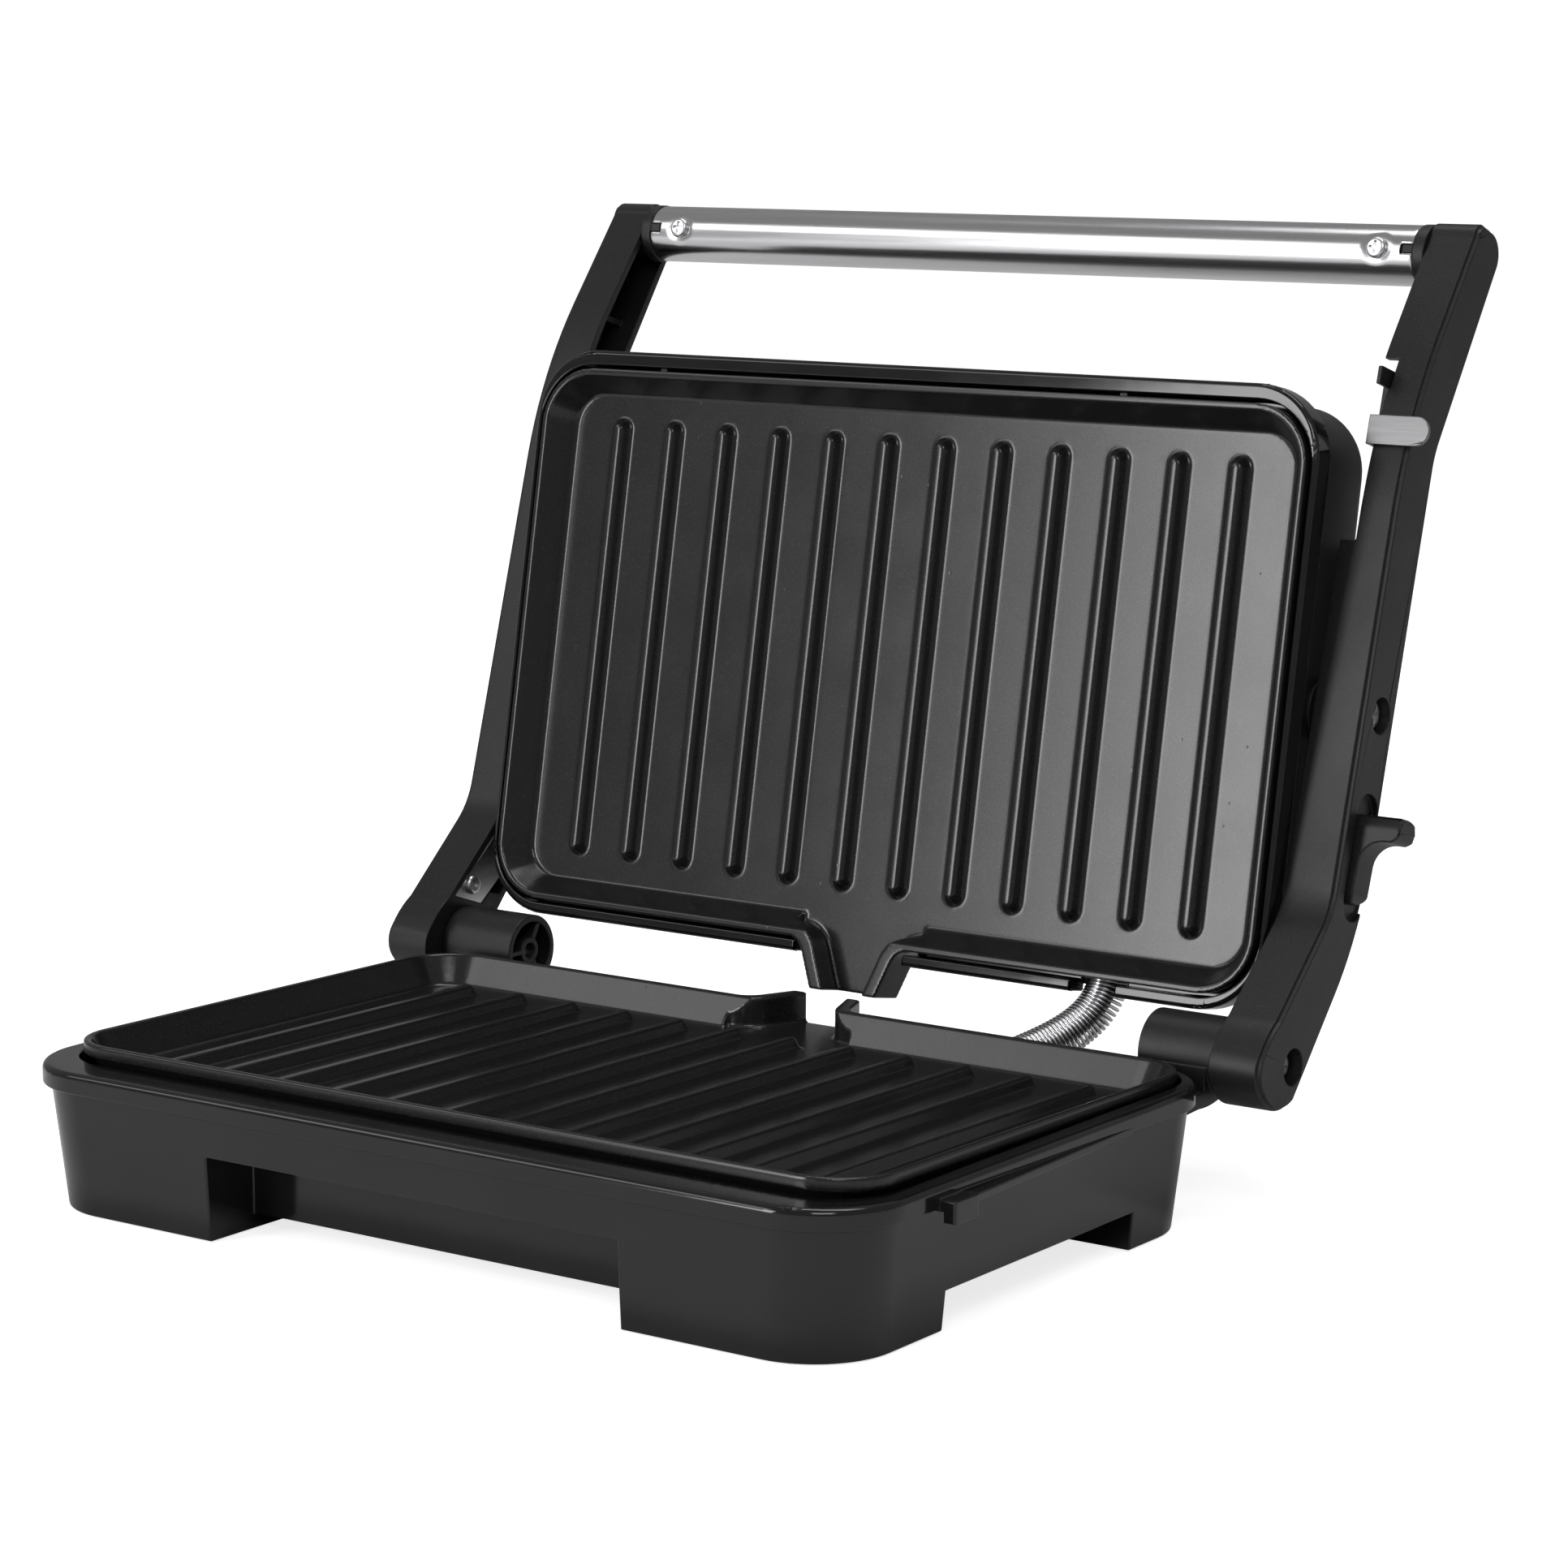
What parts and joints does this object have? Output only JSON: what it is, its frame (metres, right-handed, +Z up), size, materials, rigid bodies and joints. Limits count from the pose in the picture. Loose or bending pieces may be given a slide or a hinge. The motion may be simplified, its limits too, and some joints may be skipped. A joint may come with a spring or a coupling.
{
  "type": "panini press",
  "caption": "Electric panini press with ribbed non-stick plates, a floating lid on two hinged arms, a tubular handle and drain spouts.",
  "frame": {"origin": "on the table under the centre of the base", "axes": "+X to the right along the hinge, +Y to the back, +Z up"},
  "size_m": [0.2751, 0.262, 0.2284],
  "materials": {
    "gloss_black": "gloss",
    "satin_black": "satin, fine grain",
    "nonstick": "semi-gloss non-stick coating",
    "rubber": "matte",
    "screw_steel": "zinc plated",
    "element_steel": "dull",
    "sheet_steel": "mill finish",
    "spring_steel": "bright",
    "polished_tube": "polished",
    "brushed_strap": "brushed",
    "white_plastic": "matte",
    "green_lens": "gloss",
    "red_lens": "gloss"
  },
  "bodies": {
    "base": {"lower_housing": "gloss_black", "bottom_cover": "satin_black", "bottom_cover_screws": "screw_steel", "rubber_feet": "rubber", "lower_grill_plate": "nonstick", "lower_heating_element": "element_steel", "lower_heat_reflector": "sheet_steel", "thermostat": "sheet_steel", "hinge_bracket_right": "satin_black", "hinge_bracket_left": "satin_black", "hinge_screws": "screw_steel", "terminal_block": "white_plastic", "cord_gland": "satin_black", "wiring_conduit": "spring_steel"},
    "arms": {"arm_right": "satin_black", "arm_left": "satin_black", "arm_strip_right": "sheet_steel", "arm_strip_left": "sheet_steel", "arm_strip_screws": "screw_steel", "handle_tube": "polished_tube", "handle_plugs": "satin_black", "handle_screws": "screw_steel", "pivot_pins": "screw_steel", "lever_spring": "spring_steel"},
    "lid": {"upper_grill_plate": "nonstick", "upper_heating_element": "element_steel", "upper_heat_reflector": "sheet_steel", "lid_bezel": "gloss_black", "lid_cover": "satin_black", "lid_screws": "screw_steel", "pivot_bushes": "satin_black", "plate_clips": "satin_black", "ready_lens": "green_lens", "power_lens": "red_lens", "thermal_fuse": "white_plastic"},
    "release_lever": {"release_lever": "satin_black"},
    "latch": {"latch_strap": "brushed_strap", "latch_hook": "satin_black"}
  },
  "joints": [
    {"name": "lid_open", "type": "hinge", "parent": "base", "child": "arms", "pos_m": [0, 0.088, 0.0365], "axis": [1, 0, 0], "range_deg": [-70, 100.6], "deforming": ["wiring_conduit"]},
    {"name": "lid_tilt", "type": "hinge", "parent": "arms", "child": "lid", "pos_m": [0, 0.12766, 0.11426], "axis": [1, 0, 0], "range_deg": [-1.6, 1.6]},
    {"name": "release_lever_slide", "type": "slide", "parent": "arms", "child": "release_lever", "axis": [0, 0.2823, 0.9593], "range_m": [0, 0.0045], "stiffness_N_per_m": 300, "springref_m": -0.002},
    {"name": "latch_slide", "type": "slide", "parent": "arms", "child": "latch", "axis": [0, 0.2823, 0.9593], "range_m": [0, 0.0024]}
  ]
}
